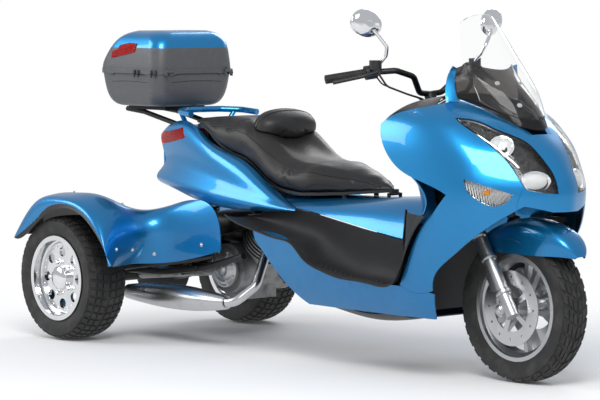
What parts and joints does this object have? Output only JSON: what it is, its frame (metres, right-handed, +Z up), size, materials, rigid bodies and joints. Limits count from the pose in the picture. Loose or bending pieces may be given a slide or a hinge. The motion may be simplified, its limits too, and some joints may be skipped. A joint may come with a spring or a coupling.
{
  "type": "motorized trike",
  "caption": "Step-through motor trike with one steered front wheel, two driven rear wheels under a wide fender unit, a stepped seat and a lidded top box.",
  "frame": {"origin": "centre of the bounding box at ground level", "axes": "+X forward, +Y to the rider's left, +Z up"},
  "size_m": [2.6046, 1.1392, 1.3088],
  "materials": {
    "blue_paint": "metallic gloss",
    "black_plastic": "matte",
    "grey_plastic": "satin",
    "seat_vinyl": "soft satin",
    "chrome_plate": "polished",
    "cast_alloy": "satin cast",
    "black_steel": "satin",
    "bright_steel": "brushed",
    "tyre_rubber": "matte",
    "grip_rubber": "matte",
    "lamp_clear": "clear",
    "lamp_red": "gloss",
    "screen_clear": "clear",
    "screen_smoke": "smoked gloss"
  },
  "bodies": {
    "chassis": {"frame": "black_steel", "rear_axle": "black_steel", "engine": "cast_alloy", "muffler": "bright_steel", "rear_shocks": "black_steel", "floorboard_right": "black_plastic", "floorboard_left": "black_plastic", "centre_tunnel": "blue_paint", "belly_pan": "black_plastic", "leg_shield": "blue_paint", "wheel_well": "black_plastic", "dash": "blue_paint", "nose_cowl": "blue_paint", "screen_garnish": "screen_smoke", "screen_surrounds": "blue_paint", "windshield": "screen_clear", "side_fairing_right": "blue_paint", "side_fairing_left": "blue_paint", "headlight_right": "lamp_clear", "headlight_left": "lamp_clear", "turn_signal_right": "lamp_clear", "turn_signal_left": "lamp_clear", "lower_side_panel_right": "blue_paint", "lower_side_panel_left": "blue_paint", "tail_panel_right": "blue_paint", "tail_panel_left": "blue_paint", "tail_deck": "blue_paint", "tail_lights": "lamp_red", "grab_rail": "blue_paint", "seat_hinge": "black_steel", "box_base": "grey_plastic", "box_rack": "black_steel", "rear_fender_right": "blue_paint", "rear_fender_left": "blue_paint", "fender_saddle": "blue_paint"},
    "seat": {"seat_cushion": "seat_vinyl", "backrest_pad": "seat_vinyl", "seat_pan": "black_plastic"},
    "box_lid": {"box_lid_shell": "grey_plastic", "box_lid_cover": "blue_paint"},
    "steering": {"fork": "bright_steel", "brake_calipers": "cast_alloy", "control_cables": "grip_rubber", "front_fender": "blue_paint", "handlebar": "black_steel", "grips": "grip_rubber", "switchgear": "black_plastic", "mirror_right": "chrome_plate", "mirror_left": "chrome_plate"},
    "front_wheel": {"front_tyre": "tyre_rubber", "front_rim": "cast_alloy", "front_discs": "bright_steel"},
    "rear_wheel_right": {"rear_tyre_right": "tyre_rubber", "rear_rim_right": "chrome_plate"},
    "rear_wheel_left": {"rear_tyre_left": "tyre_rubber", "rear_rim_left": "chrome_plate"}
  },
  "joints": [
    {"name": "steering_turn", "type": "hinge", "parent": "chassis", "child": "steering", "pos_m": [1.00332, 0, 0.24545], "axis": [-0.5299, 0, 0.848], "range_deg": [-35, 35]},
    {"name": "front_wheel_spin", "type": "hinge", "parent": "steering", "child": "front_wheel", "pos_m": [1.033, 0, 0.264], "axis": [0, 1, 0], "continuous": true},
    {"name": "rear_wheel_right_spin", "type": "hinge", "parent": "chassis", "child": "rear_wheel_right", "pos_m": [-1.027, -0.45, 0.245], "axis": [0, 1, 0], "continuous": true},
    {"name": "rear_wheel_left_spin", "type": "hinge", "parent": "chassis", "child": "rear_wheel_left", "pos_m": [-1.027, 0.45, 0.245], "axis": [0, 1, 0], "continuous": true},
    {"name": "seat_lift", "type": "hinge", "parent": "chassis", "child": "seat", "pos_m": [0.361, 0, 0.627], "axis": [0, 1, 0], "range_deg": [0, 45]},
    {"name": "box_lid_lift", "type": "hinge", "parent": "chassis", "child": "box_lid", "pos_m": [-0.7868, 0, 1.054], "axis": [0, 1, 0], "range_deg": [0, 75]}
  ]
}
